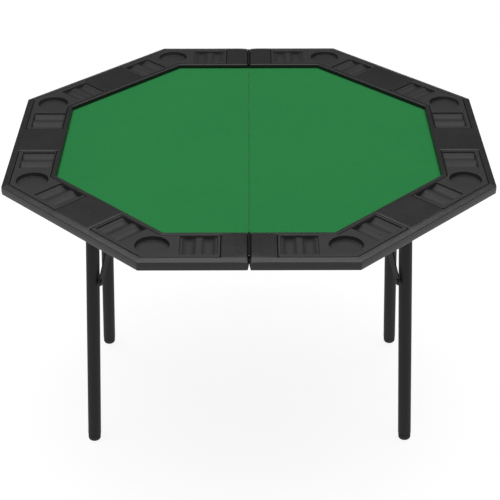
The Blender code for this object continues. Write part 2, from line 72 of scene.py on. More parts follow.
# Rail
OUTER_ROUND = 0.0055  # corner radii in plan, at the rail's outer edge and at its inner one
INNER_ROUND = 0.004
RAIL_END = 0.0022  # from the seam's middle to the rail's end
END_ROUND = 0.0045
NOTCH_DEPTH = 0.024  # at the table's edge the rail's ends open out over this length
NOTCH_TOP, NOTCH_FOOT = 0.0016, 0.0040  # from the seam's middle to the rail's end there
FLAP = 0.026  # vinyl turned under the board
VINYL = 0.0009
CREST = APOTHEM - 0.020  # the top falls from here outwards, by CREST_DROP over CREST_RUN
CREST_DROP = 0.0044
CREST_RUN = APOTHEM - 0.0015 - CREST
TOP_SINK = 0.0002  # from the rail's highest level down to its flat top
TOP_EDGE, INNER_EDGE, LOWER_EDGE = 0.0019, 0.0036, 0.0025  # radii of the section's corners
FACE_INSET, FACE_BULGE = 0.0005, 0.0004
COVER_BACK = APOTHEM - 0.0031  # the cover's back, beside the board's edge
WING_COLUMNS = 26
CORNER_PULL, CORNER_PULL_WIDTH = 0.0017, 0.016
SLOW_HOLLOW, QUICK_HOLLOW, PULL_HOLLOW, EDGE_HOLLOW = 0.00045, 0.00018, 0.0003, 0.00045

# The vinyl's cloth simulation
PRESSURE = 3.0
CLOTH_FRAMES = 16
BUCKLE_ROUNDS, BUCKLE_SHARE = 36, 0.6  # how often and how far each point goes to its neighbours' mean shift
SWELL = 0.0011  # the furthest that a point may move
ROOM = 0.00005  # what stays free below the rail's highest level, for the folded table

# Felt
FELT_FLAP, FLAP_CLEAR = 0.00048, 0.00001  # the cloth on the board's edge: its thickness and clearance
FLAP_END = 0.0006  # from the board's underside up to that cloth's lower edge
FLAP_REACH = APOTHEM - NOTCH_DEPTH - 0.003  # it runs on under the rail's ends
FELT_ROLL = 0.0026  # radius over the board's edge
FELT_DIP = 0.00022  # depth of the cloth's shallow unevenness

# Trays
TRAY_OUTER, TRAY_INNER, TRAY_END = 0.590, 0.493, 0.065
POCKET_CLEAR = 0.0004
POCKET_LIP = 0.0022
POCKET_WALL = 0.0006
POCKET_FLOOR = BOARD_TOP + 0.0007
TRAY_SHRINK = 0.0009  # the tray stands this far inside its outline
TRAY_EDGE, TRAY_CORNER = 0.0013, 0.005
TRAY_FOOT = BOARD_TOP + 0.0011
CUP_APOTHEM, CUP_RADIUS, CUP_DEPTH = 0.536, 0.040, 0.0115
GROOVE_CENTRES, GROOVE_RADIUS, GROOVE_DEPTH = (0.093, 0.138), 0.023, 0.0115
RACK, RACK_REACH, RACK_DEPTH = (0.072, 0.159), (0.4965, 0.5780), 0.005
LIP = 0.0010
GUARD = 0.0003  # a flat ring round each rounded lip, which keeps the flat top's shading flat
MOULD_WALL, MOULD_FOOT = 0.0005, 0.0022  # widths in plan of a recess's wall and of the round at its foot
CUP_SEGMENTS, RACK_CELLS = 72, (46, 14)

# Legs
FOOT_RADIUS, FOOT_HEIGHT, FOOT_ROUND = 0.0167, 0.018, 0.0075
PLUG_RADIUS, PLUG_HEIGHT = 0.0153, 0.018  # the part inside the tube

# Hardware
SCREW_RADIUS, SCREW_HEIGHT = 0.0034, 0.0022
BRACKET_SHEET, BOLT_SHEET = 0.0025, 0.0015
# Places of the screws along the leg's fold and across it, from its pivot; those of the bolts are in x
BRACKET_SCREWS = (-0.028, 0.037), (-0.0275, 0.0275)
MOUNT_SCREWS = (-0.0070, 0.0070), 0.0355
HOUSING_SCREWS, KEEPER_SCREWS, BOLT_SCREW_Y = (-0.052, -0.014), (0.019,), 0.0145
STAPLE_PITCH, STAPLE_HALF, STAPLE_WIRE = 0.035, 0.005, 0.0005

# Studio
LIGHTS = {  # place, aim, size and watts
    "overhead": ((0, 0.3, 3.6), (0, 0, 0.7), (4.5, 4.0), 120),
    "front_fill": ((0, -4.2, 3.6), (0, 0, 0.5), (4.0, 2.0), 34),
}
HORIZON_LIGHT, ZENITH_LIGHT, BACKDROP = 0.13, 0.52, 1.0
FLOOR_GLOW, FLOOR_REACH = 0.88, 30
LENS, SENSOR, SHIFT = 102.25, 36, (-0.009, -0.0212)
CAMERA_PLACE, CAMERA_DOWN, CAMERA_TURN = (0.0, -3.3186, 2.4623), 30.658, -0.251  # the angles are in degrees


# Materials


class Look:
    """A Principled material, with short calls for the nodes that feed it. Texture scales are per metre."""

    def __init__(self, name, colour, roughness, metallic=0.0, **sockets):
        self.material = bpy.data.materials.new(name)
        self.material.use_nodes = True
        self.tree = self.material.node_tree
        self.shader = self.tree.nodes["Principled BSDF"]
        self.base = colour
        values = {"Base Color": (*colour, 1.0), "Roughness": roughness, "Metallic": metallic}
        values.update({key.replace("_", " "): value for key, value in sockets.items()})
        for socket, value in values.items():
            self.shader.inputs[socket].default_value = value
        self.coords = self.tree.nodes.new("ShaderNodeTexCoord").outputs["Object"]
        self.normal = None

    def node(self, kind, output, inputs, **settings):
        made = self.tree.nodes.new(kind)
        for key, value in settings.items():
            setattr(made, key, value)
        for key, value in inputs.items():
            if isinstance(value, bpy.types.NodeSocket):
                self.tree.links.new(value, made.inputs[key])
            else:
                made.inputs[key].default_value = value
        return made.outputs[output]

    def stretched(self, scale):
        return self.node("ShaderNodeMapping", 0, {"Vector": self.coords, "Scale": scale})

    def noise(self, scale, detail=2.0, roughness=0.5, coords=None, distortion=0.0):
        inputs = {"Vector": coords or self.coords, "Scale": scale, "Detail": detail}
        inputs.update({"Roughness": roughness, "Distortion": distortion})
        return self.node("ShaderNodeTexNoise", 0, inputs)

    def cells(self, scale, feature="F1"):
        inputs = {"Vector": self.coords, "Scale": scale}
        return self.node("ShaderNodeTexVoronoi", "Distance", inputs, feature=feature)

    def spread(self, value, low, high, start=0.3, end=0.7):
        inputs = {"Value": value, "From Min": start, "From Max": end, "To Min": low, "To Max": high}
        return self.node("ShaderNodeMapRange", 0, inputs)

    def sum(self, first, second, operation="ADD"):
        return self.node("ShaderNodeMath", 0, {0: first, 1: second}, operation=operation)

    def part(self, value, share):
        return self.sum(value, share, "MULTIPLY")

    def mix(self, amount, *colours):
        inputs = {0: amount}
        for key, value in zip((6, 7), colours):
            inputs[key] = value if isinstance(value, bpy.types.NodeSocket) else (*value, 1.0)
        return self.node("ShaderNodeMix", 2, inputs, data_type="RGBA")

    # The mesh's mark for wear and for painted highlights on edges and lips.
    def worn_and_highlit(self):
        return self.node("ShaderNodeAttribute", "Fac", {}, attribute_name="wear_and_highlight")

    def shade(self, factor):
        return tuple(min(1.0, factor * channel) for channel in self.base)

    def colour(self, socket):
        self.tree.links.new(socket, self.shader.inputs["Base Color"])

    def rough(self, socket):
        self.tree.links.new(socket, self.shader.inputs["Roughness"])

    def bump(self, height, distance, strength=1.0):
        inputs = {"Height": height, "Distance": distance, "Strength": strength}
        if self.normal:
            inputs["Normal"] = self.normal
        self.normal = self.node("ShaderNodeBump", 0, inputs)
        self.tree.links.new(self.normal, self.shader.inputs["Normal"])


def vinyl_look():
    """Fine-grained charcoal vinyl: pebbled cells with creases between them painted darker as painted shade, worn
    paler where hands rest, with a painted highlight along the top's outer and inner edges.
    """
    look = Look("rail_vinyl", (0.0116, 0.0108, 0.0113), 0.34, Specular_IOR_Level=0.36)
    warped = look.noise(240, 2.0)
    pebbles = look.cells(820)
    painted_crease_shade = look.cells(820, "DISTANCE_TO_EDGE")
    pores = look.noise(2600, 2.0)
    worn_and_highlit = look.worn_and_highlit()
    broad = look.noise(9, 4.0, 0.6)
    # Paler in broad random patches, in the middle of each side as wear, and along the top's outer and inner edges
    # as a painted highlight.
    amount = look.sum(look.spread(broad, 0.0, 0.7), look.part(worn_and_highlit, 0.55))
    plain = look.mix(amount, look.shade(0.90), look.shade(1.30))
    # The creases between the pebbles are painted darker: painted shade.
    look.colour(look.mix(look.spread(painted_crease_shade, 0.45, 0.0, 0.0, 0.12), plain, look.shade(0.55)))
    rough = look.sum(look.spread(broad, 0.28, 0.35), look.spread(warped, -0.03, 0.03))
    look.rough(look.sum(rough, look.part(worn_and_highlit, 0.05), "SUBTRACT"))
    look.bump(look.sum(pebbles, look.part(pores, 0.25)), 0.00016, 0.55)
    look.bump(look.noise(70, 3.0), 0.0006, 0.22)
    return look.material


def felt_look():
    """Speed felt: short crossed fibres over a flat weave, with a soft nap."""
    sheen = {"Sheen_Weight": 0.09, "Sheen_Roughness": 0.5, "Sheen_Tint": (0.30, 0.85, 0.40, 1.0)}
    look = Look("felt", (0.0142, 0.156, 0.0405), 0.95, Specular_IOR_Level=0.12, **sheen)
    along = look.noise(1.0, 3.0, 0.6, look.stretched((2300, 420, 900)))
    across = look.noise(1.0, 3.0, 0.6, look.stretched((420, 2300, 900)))
    fibres = look.sum(along, across)
    nap = look.noise(34, 4.0, 0.65)
    broad = look.noise(2.4, 2.0)
    fine = look.mix(look.spread(fibres, 0.0, 1.0, 0.7, 1.3), look.shade(0.80), look.shade(1.17))
    look.colour(look.mix(look.spread(look.sum(nap, broad), 0.0, 0.34, 0.7, 1.3), fine, look.shade(1.22)))
    look.rough(look.spread(nap, 0.90, 1.0))
    look.bump(fibres, 0.00035, 0.5)
    look.bump(nap, 0.0008, 0.12)
    return look.material


def tray_look():
    """Moulded ABS with a fine eroded grain, rubbed smoother on its lips, which are also painted paler as a
    highlight.
    """
    look = Look("tray_plastic", (0.0192, 0.0180, 0.0186), 0.5, Specular_IOR_Level=0.27)
    grain = look.noise(2100, 3.0, 0.6)
    worn_and_highlit = look.worn_and_highlit()
    broad = look.noise(14, 3.0)
    dust = look.spread(look.noise(420, 4.0, 0.7), 0.0, 0.35, 0.58, 0.75)
    # Paler in broad random patches, and on the lips as a painted highlight.
    amount = look.sum(look.spread(broad, 0.0, 0.5), look.part(worn_and_highlit, 0.6))
    plain = look.mix(amount, look.shade(0.93), look.shade(1.25))
    look.colour(look.mix(dust, plain, look.shade(1.45)))
    look.rough(look.sum(look.spread(broad, 0.48, 0.56), look.part(worn_and_highlit, 0.10), "SUBTRACT"))
    look.bump(grain, 0.00012, 0.45)
    look.bump(broad, 0.0007, 0.15)
    return look.material


def steel_look():
    """Black powder coat with orange peel."""
    look = Look("black_steel", (0.0155, 0.0155, 0.016), 0.58, 0.0, Specular_IOR_Level=0.22)
    peel = look.noise(480, 2.0, 0.45)
    broad = look.noise(12, 4.0, 0.6)
    specks = look.spread(look.noise(1500, 2.0), 0.0, 0.5, 0.66, 0.74)
    plain = look.mix(look.spread(broad, 0.0, 1.0), look.shade(0.90), look.shade(1.15))
    look.colour(look.mix(specks, plain, look.shade(2.0)))
    look.rough(look.sum(look.spread(broad, 0.54, 0.64), look.spread(peel, -0.03, 0.03)))
    look.bump(peel, 0.00025, 0.5)
    return look.material


def oxide_look():
    """Chemically blackened steel, almost without a shine."""
    look = Look("black_oxide", (0.0052, 0.0052, 0.0054), 0.72, Specular_IOR_Level=0.14)
    mottle = look.noise(260, 4.0, 0.65)
    look.colour(look.mix(look.spread(mottle, 0.0, 1.0), look.shade(0.75), look.shade(1.5)))
    look.rough(look.spread(mottle, 0.62, 0.80))
    look.bump(look.noise(1800, 2.0), 0.00005, 0.4)
    return look.material


def zinc_look():
    """Zinc plate: faintly yellow and brushed, duller in patches."""
    look = Look("zinc", (0.46, 0.455, 0.44), 0.34, 1.0)
    brushed = look.noise(1.0, 3.0, 0.7, look.stretched((160, 3200, 3200)))
    patches = look.noise(150, 4.0, 0.65)
    look.colour(look.mix(look.spread(patches, 0.0, 1.0), look.shade(0.78), (0.52, 0.50, 0.44)))
    look.rough(look.sum(look.spread(brushed, 0.26, 0.40), look.spread(patches, -0.04, 0.08)))
    look.bump(brushed, 0.00006, 0.4)
    return look.material


def rubber_look():
    """Moulded rubber, dusty near the floor."""
    look = Look("rubber", (0.017, 0.017, 0.0175), 0.8, Specular_IOR_Level=0.3)
    height = look.node("ShaderNodeSeparateXYZ", "Z", {"Vector": look.coords})
    mottle = look.noise(330, 4.0, 0.7)
    low = look.spread(height, 0.8, 0.12, 0.0, 0.024)
    dust = look.part(low, look.spread(mottle, 0.0, 1.0, 0.42, 0.66))
    look.colour(look.mix(dust, look.shade(0.9), (0.085, 0.083, 0.080)))
    look.rough(look.spread(mottle, 0.70, 0.92))
    look.bump(mottle, 0.0004, 0.5)
    return look.material


def board_look():
    """Fibreboard under matt black paint: pressed fibres and roller stipple, thin and brown where it rubs."""
    look = Look("board", (0.024, 0.0225, 0.0215), 0.78, Specular_IOR_Level=0.3)
    fibres = look.noise(1.0, 5.0, 0.7, look.stretched((130, 420, 300)), 1.2)
    stipple = look.noise(900, 2.0)
    patches = look.noise(7, 4.0, 0.6)
    brown = look.spread(look.sum(patches, look.part(stipple, 0.25)), 0.0, 0.30, 0.72, 0.90)
    painted = look.mix(look.spread(fibres, 0.0, 1.0), look.shade(0.8), look.shade(1.2))
    look.colour(look.mix(brown, painted, (0.075, 0.050, 0.032)))
    look.rough(look.spread(fibres, 0.70, 0.86))
    look.bump(look.sum(fibres, look.part(stipple, 0.4)), 0.0003, 0.5)
    return look.material


# Mesh helpers


def new_mesh(name, points, faces, worn_and_highlit=None, weld=0.0):
    """A mesh with its faces turned outwards, how worn each point is and how much painted highlight it carries, and
    points closer than weld made one.
    """
    mesh = bpy.data.meshes.new(name)
    mesh.from_pydata([tuple(point) for point in points], [], faces)
    if worn_and_highlit:
        mesh.attributes.new("wear_and_highlight", "FLOAT", "POINT").data.foreach_set("value", worn_and_highlit)
    shape = bmesh.new()
    shape.from_mesh(mesh)
    if weld:
        bmesh.ops.remove_doubles(shape, verts=shape.verts, dist=weld)
    bmesh.ops.recalc_face_normals(shape, faces=shape.faces)
    shape.to_mesh(mesh)
    shape.free()
    return mesh


def place(name, mesh, material, body, slot, stands_for=(), sharp=40.0):
    """One object of the visual model, in the row frame, riding on a body."""
    mesh.materials.append(material)
    mesh.shade_smooth()
    mesh.set_sharp_from_angle(angle=math.radians(sharp))
    item = bpy.data.objects.new(name, mesh)
    bpy.context.scene.collection.objects.link(item)
    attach(item, body)
    if stands_for:
        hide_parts(*stands_for)
    return item


def piece(name, points, faces, *placing):
    return place(name, new_mesh(name, points, faces, weld=WELD), *placing)


def grid_faces(rows, columns, closed_rows=False, start=0):
    """Quads of a grid of points that are numbered row after row."""
    faces = []
    for row in range(rows if closed_rows else rows - 1):
        beyond = (row + 1) % rows
        for column in range(columns - 1):
            a, b = start + row * columns + column, start + beyond * columns + column
            faces.append((a, a + 1, b + 1, b))
    return faces


def add_ring_faces(faces, start, count, rows):
    """Quads between closed rings of as many points each, numbered ring after ring."""
    for row in range(rows - 1):
        for n in range(count):
            a, b = start + row * count + n, start + row * count + (n + 1) % count
            faces.append((a, b, b + count, a + count))


def arc(centre, radius, start, end, steps):
    """Points round a centre, from one angle to another, in degrees."""
    angles = (math.radians(start + (end - start) * step / steps) for step in range(steps + 1))
    return [(centre[0] + radius * math.cos(a), centre[1] + radius * math.sin(a)) for a in angles]


def spaced(low, high, count):
    return [low + (high - low) * step / count for step in range(count + 1)]


def side_point(side, apothem, s):
    angle = 2 * HALF_CORNER * side
    x, y = math.cos(angle), math.sin(angle)
    return apothem * x - s * y, apothem * y + s * x


def corner_round(apothem):
    """The radius in plan of the rail's corners, which shrinks towards the inner edge."""
    share = (apothem - RAIL_INNER) / (APOTHEM - RAIL_INNER)
    return INNER_ROUND + (OUTER_ROUND - INNER_ROUND) * share


# The rail: one padded vinyl cover on each half, a ring of profile points swept round the half octagon


WING_START = TRAY_END - POCKET_CLEAR + POCKET_WALL
LIP_SHARES = (1, 0.6, 0.32, 0.12, 0)


def rail_columns():
    """The right half's stations as (side, kind, value), from the seam's front end round to its back end."""
    lips = [TRAY_END - POCKET_CLEAR - POCKET_LIP * share for share in LIP_SHARES]
    straight = spaced(0, lips[0], 11)[1:-1] + lips + [WING_START]
    seam = [END_ROUND * share for share in (0, 0.06, 0.2, 0.42, 0.7, 1.0, 1.6)]
    wing = spaced(0, 1, WING_COLUMNS)[1:]
    turn = [0.25, 0.5, 0.75]
    columns = []
    for side in (6, 7, 8, 9, 10):
        if side == 6:
            columns += [(side, "seam", s) for s in seam]
        else:
            columns += [(side, "wing", -share) for share in reversed(wing)]
            columns += [(side, "straight", -s) for s in reversed(straight if side < 10 else straight[1:])]
        if side == 10:
            columns += [(side, "seam", -s) for s in reversed(seam)]
            break
        columns += [(side, "straight", s) for s in ([] if side == 6 else [0.0]) + straight[side == 6 :]]
        columns += [(side, "wing", share) for share in wing]
        columns += [(side, "turn", share) for share in turn]
    return columns


def rail_place(column, apothem, z):
    """Where a column crosses a point of the section, as (x, y, distance along the side from its middle)."""
    side, kind, value = column
    inner = apothem - corner_round(apothem)
    if kind == "turn":
        angle = 2 * HALF_CORNER * (side + value)
        middle = 2 * HALF_CORNER * (side + 0.5)
        reach, radius = inner / COS, corner_round(apothem)
        x = reach * math.cos(middle) + radius * math.cos(angle)
        y = reach * math.sin(middle) + radius * math.sin(angle)
        return x, y, inner * TAN
    s = value
    if kind == "wing":
        s = math.copysign(WING_START + (inner * TAN - WING_START) * abs(value), value)
    if kind == "seam":
        opened = min(1.0, max(0.0, 2 * (apothem - APOTHEM + NOTCH_DEPTH) / NOTCH_DEPTH))
        depth = min(1.0, max(0.0, (TOP_Z - z) / (TOP_Z - BOARD_Z)))
        edge = NOTCH_TOP + (NOTCH_FOOT - NOTCH_TOP) * depth
        end = RAIL_END + (edge - RAIL_END) * opened
        s = math.copysign(end + abs(value), value) if value else (end if side == 6 else -end)
    return (*side_point(side, apothem, s), abs(s))


def pocket_drop(s, apothem):
    """How far the rail's top drops into a tray's pocket: 0 outside it, rounded at its lip."""
    middle, half = (TRAY_OUTER + TRAY_INNER) / 2, (TRAY_OUTER - TRAY_INNER) / 2 + POCKET_CLEAR
    across, along = abs(apothem - middle) - half, TRAY_END - POCKET_CLEAR - s
    outside = math.hypot(max(across, 0), max(along, 0)) + min(max(across, along), 0)
    if outside >= POCKET_LIP:
        return 0.0
    if outside >= 0:
        return POCKET_LIP - math.sqrt(POCKET_LIP**2 - (POCKET_LIP - outside) ** 2)
    share = min(1.0, -outside / POCKET_WALL)
    return POCKET_LIP + (TOP_Z - POCKET_FLOOR - POCKET_LIP) * share


def rail_top(apothem):
    """The height of the rail's padded top: almost flat, and rounded down towards the outer edge."""
    beyond = max(0.0, apothem - CREST) / CREST_RUN
    return TOP_Z - TOP_SINK - CREST_DROP * beyond**2


def rail_ring():
    """The closed section as (apothem, z, is_top): the flap under the board, the side, the top and the back."""
    skin = BOARD_Z - GAP
    low = skin - VINYL
    edge = APOTHEM - FACE_INSET - TOP_EDGE
    tilt = math.atan(2 * CREST_DROP * (edge - CREST) / CREST_RUN**2)
    edge_centre = (edge - TOP_EDGE * math.sin(tilt), rail_top(edge) - TOP_EDGE * math.cos(tilt))
    face = edge_centre[0] + TOP_EDGE
    points = [(a, low, False) for a in spaced(APOTHEM - FLAP, face - 0.004, 3)]
    points += [(a, z, False) for a, z in arc((face - LOWER_EDGE, low + LOWER_EDGE), LOWER_EDGE, -90, 0, 5)]
    side = spaced(low + LOWER_EDGE, edge_centre[1], 7)[1:-1]
    bulge = (FACE_BULGE * math.sin(math.pi * (z - side[0]) / (side[-1] - side[0])) for z in side)
    points += [(face + out, z, False) for z, out in zip(side, bulge)]
    points += [(a, z, False) for a, z in arc(edge_centre, TOP_EDGE, 0, 90 - math.degrees(tilt), 6)]
    lips = [POCKET_LIP * share for share in LIP_SHARES]
    outer, inner = TRAY_OUTER + POCKET_CLEAR, TRAY_INNER - POCKET_CLEAR
    tops = spaced(edge, outer + lips[0], 9)[1:-1] + [outer + lip for lip in lips] + [outer - POCKET_WALL]
    tops += spaced(outer - POCKET_WALL, inner + POCKET_WALL, 12)[1:]
    tops += [inner - lip for lip in reversed(lips)]
    corner = RAIL_INNER + INNER_EDGE
    tops += spaced(inner - lips[0], corner, 2)[1:-1]
    points += [(a, rail_top(a), True) for a in tops]
    points += [(a, z, False) for a, z in arc((corner, rail_top(corner) - INNER_EDGE), INNER_EDGE, 90, 180, 6)]
    points += [(RAIL_INNER, z, False) for z in spaced(rail_top(corner) - INNER_EDGE, FELT_TOP, 3)[1:]]
    points += [(a, BOARD_TOP + GAP, False) for a in (RAIL_INNER + GAP, 0.50, 0.54, 0.58, COVER_BACK)]
    points += [(COVER_BACK, skin, False), (APOTHEM - FLAP, skin, False)]
    return points


def rail_points(hand):
    """The rail's points, row after row of the ring, how worn each is and how much painted highlight it carries,
    and how firmly it is held.
    """
    ring, columns = rail_ring(), rail_columns()
    points, worn_and_highlit, held = [], [], []
    for apothem, z, is_top in ring:
        for column in columns:
            x, y, s = rail_place(column, apothem, z)
            height = z
            drop = pocket_drop(s, apothem) if is_top else 0.0
            if is_top:
                height = max(POCKET_FLOOR, min(z, TOP_Z - drop))
            padded = z > FELT_TOP and height > POCKET_FLOOR + 0.002
            if padded:
                sinking = end_drop(column) + (corner_pull(s, apothem) if column[0] in (6, 10) else 0.0)
                height -= sinking * (z - BOARD_Z) / (TOP_Z - BOARD_Z)
                height -= softness(hand * x, y, apothem, s) if is_top else 0.0
            points.append((hand * x, y, height))
            worn_and_highlit.append(wear_and_highlight(apothem, z, is_top, s))
            at_end = column[1] == "seam" and abs(column[2]) < END_ROUND
            held.append(1.0 if at_end else grip(apothem, z, is_top, drop))
    return points, worn_and_highlit, held, len(ring), len(columns)


def end_drop(column):
    """The vinyl rolls down at the seam's end."""
    if column[1] != "seam":
        return 0.0
    inside = END_ROUND - min(END_ROUND, abs(column[2]))
    return END_ROUND - math.sqrt(END_ROUND**2 - inside**2) if inside < END_ROUND else END_ROUND


def corner_pull(s, apothem):
    """The vinyl is pulled down where it is folded round the table's edge and the seam at once."""
    share = min(1.0, max(0.0, (apothem - CREST + 0.010) / (APOTHEM - CREST)))
    return CORNER_PULL * share * math.exp(-((s / CORNER_PULL_WIDTH) ** 2))


def softness(x, y, apothem, s):
    """Hollows of the padded top: waves, pulls at the corners and an uneven outer edge."""
    slow = 0.5 + 0.5 * noise.noise(Vector((17 * x, 17 * y, 3.1)))
    quick = 0.5 + 0.5 * noise.noise(Vector((52 * x, 52 * y, 8.7)))
    pull = math.exp(-(((apothem * TAN - s) / 0.020) ** 2)) * (0.5 + 0.5 * math.sin(apothem * 700))
    near_edge = math.exp(-(((apothem - APOTHEM + 0.008) / 0.007) ** 2))
    uneven = 0.5 + 0.5 * noise.noise(Vector((38 * x, 38 * y, 5.3))) * near_edge
    return SLOW_HOLLOW * slow + QUICK_HOLLOW * quick + PULL_HOLLOW * pull + EDGE_HOLLOW * uneven


# Paler at the top's outer and inner edges as a painted highlight, and in the middle of each side as wear; the same
# mark makes these places smoother.
def wear_and_highlight(apothem, z, is_top, s):
    edge = math.exp(-(((apothem - APOTHEM + 0.002) / 0.004) ** 2)) if z > TOP_Z - 0.009 else 0.0
    inner = math.exp(-(((apothem - RAIL_INNER - 0.001) / 0.004) ** 2)) if z > TOP_Z - 0.006 else 0.0
    middle = 0.35 * math.exp(-((s / 0.08) ** 2)) if is_top else 0.0
    return min(1.0, 0.8 * edge + 0.6 * inner + middle)


def end_cap(ring, rows, columns, column):
    """Triangles across the closed ring of points at one end of the rail."""
    numbers = [row * columns + column for row in range(rows)]
    flat = [Vector((math.hypot(*ring[n][:2]), ring[n][2], 0.0)) for n in numbers]
    return [tuple(numbers[i] for i in face) for face in tessellate_polygon([flat])]


def make_rail(hand, name, material):
    points, worn_and_highlit, held, rows, columns = rail_points(hand)
    faces = grid_faces(rows, columns, closed_rows=True)
    faces += end_cap(points, rows, columns, 0) + end_cap(points, rows, columns, columns - 1)
    lengths = f"front_{name}", f"{name}_front", name, f"{name}_back", f"back_{name}"
    labels = [f"rail_{length}" for length in lengths]
    rail = new_mesh(f"vinyl_rail_{name}", points, faces, worn_and_highlit)
    settle_vinyl(rail, held)
    item = place(f"vinyl_rail_{name}", rail, material, f"{name}_half", "rail_vinyl", labels)
    return item


def grip(apothem, z, is_top, drop):
    """How firmly the cover is held at a point: 1 under the board and in the pockets, 0 over the foam."""
    if is_top:
        return 1.0 if drop > 0.0001 else 0.0
    if apothem < RAIL_INNER + INNER_EDGE and z > FELT_TOP:
        return 0.5
    if apothem > APOTHEM - 0.008 and z > BOARD_Z + 0.004:
        return 0.75
    return 1.0


def evened(mesh, shifts, held):
    """Takes small buckles out of the moved points: foam behind the vinyl spreads them."""
    for _ in range(BUCKLE_ROUNDS):
        sums, counts = [Vector() for _ in shifts], [0] * len(shifts)
        for edge in mesh.edges:
            for near, far in (edge.vertices, reversed(edge.vertices)):
                sums[near] += shifts[far]
                counts[near] += 1
        shifts = [
            shift.lerp(total / count, BUCKLE_SHARE) if weight < 1 else shift
            for shift, total, count, weight in zip(shifts, sums, counts, held)
        ]
    return shifts


def settle_vinyl(mesh, held):
    """Blows the cover up over its foam with a short cloth simulation, and keeps what still folds flat."""
    scene = bpy.context.scene
    item = bpy.data.objects.new("settling", mesh.copy())
    scene.collection.objects.link(item)
    pins = item.vertex_groups.new(name="held")
    for number, weight in enumerate(held):
        pins.add([number], weight, "REPLACE")
    cloth = item.modifiers.new("cloth", "CLOTH")
    cloth.settings.quality = 6
    cloth.settings.mass = 0.25
    cloth.settings.tension_stiffness = cloth.settings.compression_stiffness = 20
    cloth.settings.shear_stiffness = 10
    cloth.settings.bending_stiffness = 1.0
    cloth.settings.shrink_min = -0.004
    cloth.settings.use_pressure = True
    cloth.settings.uniform_pressure_force = PRESSURE
    cloth.settings.vertex_group_mass = "held"
    cloth.settings.effector_weights.gravity = 0
    cloth.collision_settings.use_collision = False
    cloth.point_cache.frame_start, cloth.point_cache.frame_end = 1, CLOTH_FRAMES
    for number in range(1, CLOTH_FRAMES + 1):
        scene.frame_set(number)
    swollen = item.evaluated_get(bpy.context.evaluated_depsgraph_get()).to_mesh()
    shifts = [now.co - point.co for point, now in zip(mesh.vertices, swollen.vertices)]
    for point, shift in zip(mesh.vertices, evened(mesh, shifts, held)):
        shift *= min(1.0, SWELL / max(shift.length, 1e-9))
        room = TOP_Z - ROOM - point.co.z
        if 0 < room < 2 * SWELL and shift.z > 0:
            shift.z = room * (1 - math.exp(-shift.z / room))
        point.co += shift
    bpy.data.objects.remove(item)
    scene.frame_set(1)


# The felt


def felt_stations():
    """(x, z) of the cloth's face and back, from the flap on the board's edge, over it and out to the rail."""
    back = SEAM - FLAP_CLEAR
    face = back - FELT_FLAP
    low = BOARD_TOP + GAP
    turn = arc((face + FELT_ROLL, FELT_TOP - FELT_ROLL), FELT_ROLL, 180, 90, 8)
    stations = [((face, z), (back, z)) for z in spaced(BOARD_Z + FLAP_END, BOARD_TOP - GAP, 3)]
    stations += [((x, z), (max(back, x), low)) for x, z in turn]
    corner = (RAIL_INNER - GAP) * TAN
    flat = spaced(face + FELT_ROLL, corner, 24)[1:] + spaced(corner, RAIL_INNER - GAP, 34)[1:]
    return stations + [((x, FELT_TOP), (x, low)) for x in flat]


def add_flap_end(points, faces, hand, start, end):
    """The strip of cloth on the board's edge that runs on under the rail's end."""
    first = len(points)
    back, low, high = SEAM - FLAP_CLEAR, BOARD_Z + FLAP_END, BOARD_TOP - GAP
    face = back - FELT_FLAP
    section = ((face, low), (back, low), (back, high), (face, high))
    points += [(hand * x, y, z) for y in (start, end) for x, z in section]
    add_ring_faces(faces, first, len(section), 2)
    faces += [tuple(first + 4 * row + n for n in range(4)) for row in (0, 1)]


def make_felt(hand, name, material):
    """Cloth stretched on its foam, tucked against the rail and drawn over the board's edge at the seam."""
    reach = RAIL_INNER - GAP
    stations = felt_stations()
    ring = [(x, z, True) for (x, z), _ in stations] + [(x, z, False) for _, (x, z) in reversed(stations)]
    shares = spaced(-1, 1, 110)
    points = []
    for x, z, is_face in ring:
        half = min(reach, reach * (1 + TAN) - x)
        for share in shares:
            y = share * half
            dip = 0.5 + 0.5 * noise.noise(Vector((hand * 9 * x, 9 * y, 1.7)))
            points.append((hand * x, y, z - (FELT_DIP * dip if is_face and z > BOARD_TOP else 0.0)))
    columns, count = len(shares), len(stations)
    faces = grid_faces(len(ring), columns, closed_rows=True)
    for column in (0, columns - 1):
        for n in range(count - 1):
            above, below = n * columns + column, (len(ring) - 1 - n) * columns + column
            faces.append((above, above + columns, below - columns, below))
    for facing in (-1, 1):
        add_flap_end(points, faces, hand, facing * reach, facing * FLAP_REACH)
    mesh = new_mesh(f"felt_cloth_{name}", points, faces)
    item = place(f"felt_cloth_{name}", mesh, material, f"{name}_half", "felt", [f"{name}_felt"], 60.0)
    return item


# The trays, made over the corner between sides 0 and 1 and then turned into place


def tray_loop(inset):
    """The tray's outline, this far inside its edge, anticlockwise."""
    outer, inner = TRAY_OUTER - TRAY_SHRINK, TRAY_INNER + TRAY_SHRINK
    outer_round, inner_round = corner_round(outer), corner_round(inner)
    near, far = inner + TRAY_CORNER, outer - TRAY_CORNER
    tip = TRAY_END + TRAY_SHRINK + TRAY_CORNER
    radius = TRAY_CORNER - inset
    loop = arc(side_point(0, near, tip), radius, 180, 270, 6)
    loop += arc(side_point(0, far, tip), radius, 270, 360, 6)
    loop += arc(on_corner(outer - outer_round), outer_round - inset, 0, 45, 8)
    loop += arc(side_point(1, far, -tip), radius, 45, 135, 6)
    loop += arc(side_point(1, near, -tip), radius, 135, 225, 6)
    loop += arc(on_corner(inner - inner_round), inner_round + inset, 45, 0, 8)
    return loop


def on_corner(apothem):
    """The corner of the octagon of this size."""
    reach = apothem / COS
    return reach * math.cos(HALF_CORNER), reach * math.sin(HALF_CORNER)


